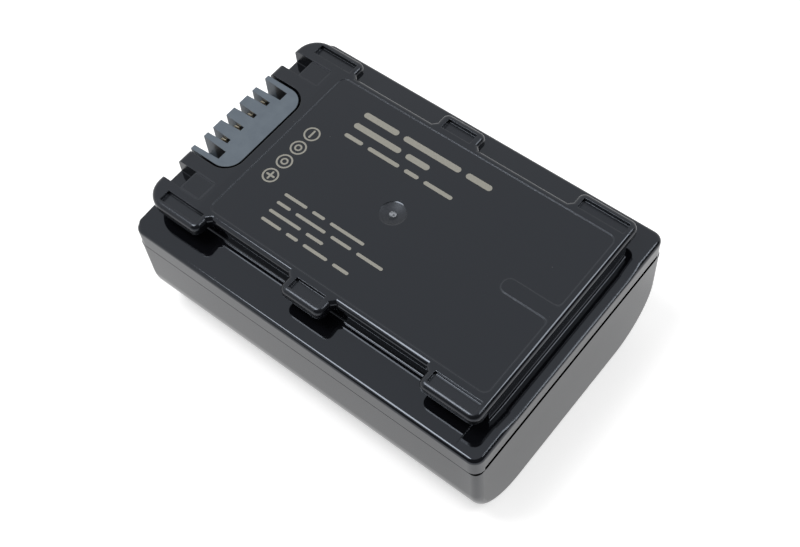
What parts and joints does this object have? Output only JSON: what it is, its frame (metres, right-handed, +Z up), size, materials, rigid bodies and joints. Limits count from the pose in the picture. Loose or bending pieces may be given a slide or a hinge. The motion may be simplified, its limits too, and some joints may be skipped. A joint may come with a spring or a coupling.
{
  "type": "camera battery",
  "caption": "Rechargeable battery pack for a small video camera: rounded tub, raised deck with undercut locking tabs, and a slotted terminal block at one end.",
  "frame": {"origin": "middle of the flat bottom face, on the surface that the pack rests on", "axes": "+X along the length, away from the terminal end; +Y across; +Z up, out of the deck"},
  "size_m": [0.045, 0.0318, 0.0185],
  "materials": {
    "case_black": "gloss black moulding",
    "block_grey": "satin blue-grey moulding",
    "contact_gold": "gold-flashed spring metal",
    "cell_steel": "nickel-plated can",
    "ring_paper": "white insulating paper",
    "sleeve_green": "thin shrink film",
    "strip_nickel": "nickel strip",
    "board_green": "solder-masked board",
    "chip_black": "moulded chip body",
    "part_ceramic": "ceramic component body",
    "pad_paper": "insulating board",
    "foam_grey": "closed-cell foam",
    "tape_white": "double-sided tape"
  },
  "bodies": {
    "root": {"lower_case": "case_black", "upper_cover": "case_black", "terminal_block": "block_grey", "contact_positive": "contact_gold", "contact_charge": "contact_gold", "contact_data": "contact_gold", "contact_negative": "contact_gold", "cell_a_can": "cell_steel", "cell_a_cap": "cell_steel", "cell_a_ring": "ring_paper", "cell_a_sleeve": "sleeve_green", "cell_b_can": "cell_steel", "cell_b_cap": "cell_steel", "cell_b_ring": "ring_paper", "cell_b_sleeve": "sleeve_green", "series_strip": "strip_nickel", "positive_strip": "strip_nickel", "negative_strip": "strip_nickel", "midpoint_lead": "strip_nickel", "circuit_board": "board_green", "board_pad": "pad_paper", "end_pad": "foam_grey", "cell_tape_a": "tape_white", "cell_tape_b": "tape_white", "protection_chip": "chip_black", "switch_chip": "chip_black", "gauge_chip": "chip_black", "sense_resistor": "chip_black", "thermistor": "part_ceramic", "capacitor_a": "part_ceramic", "capacitor_b": "part_ceramic"}
  },
  "joints": []
}
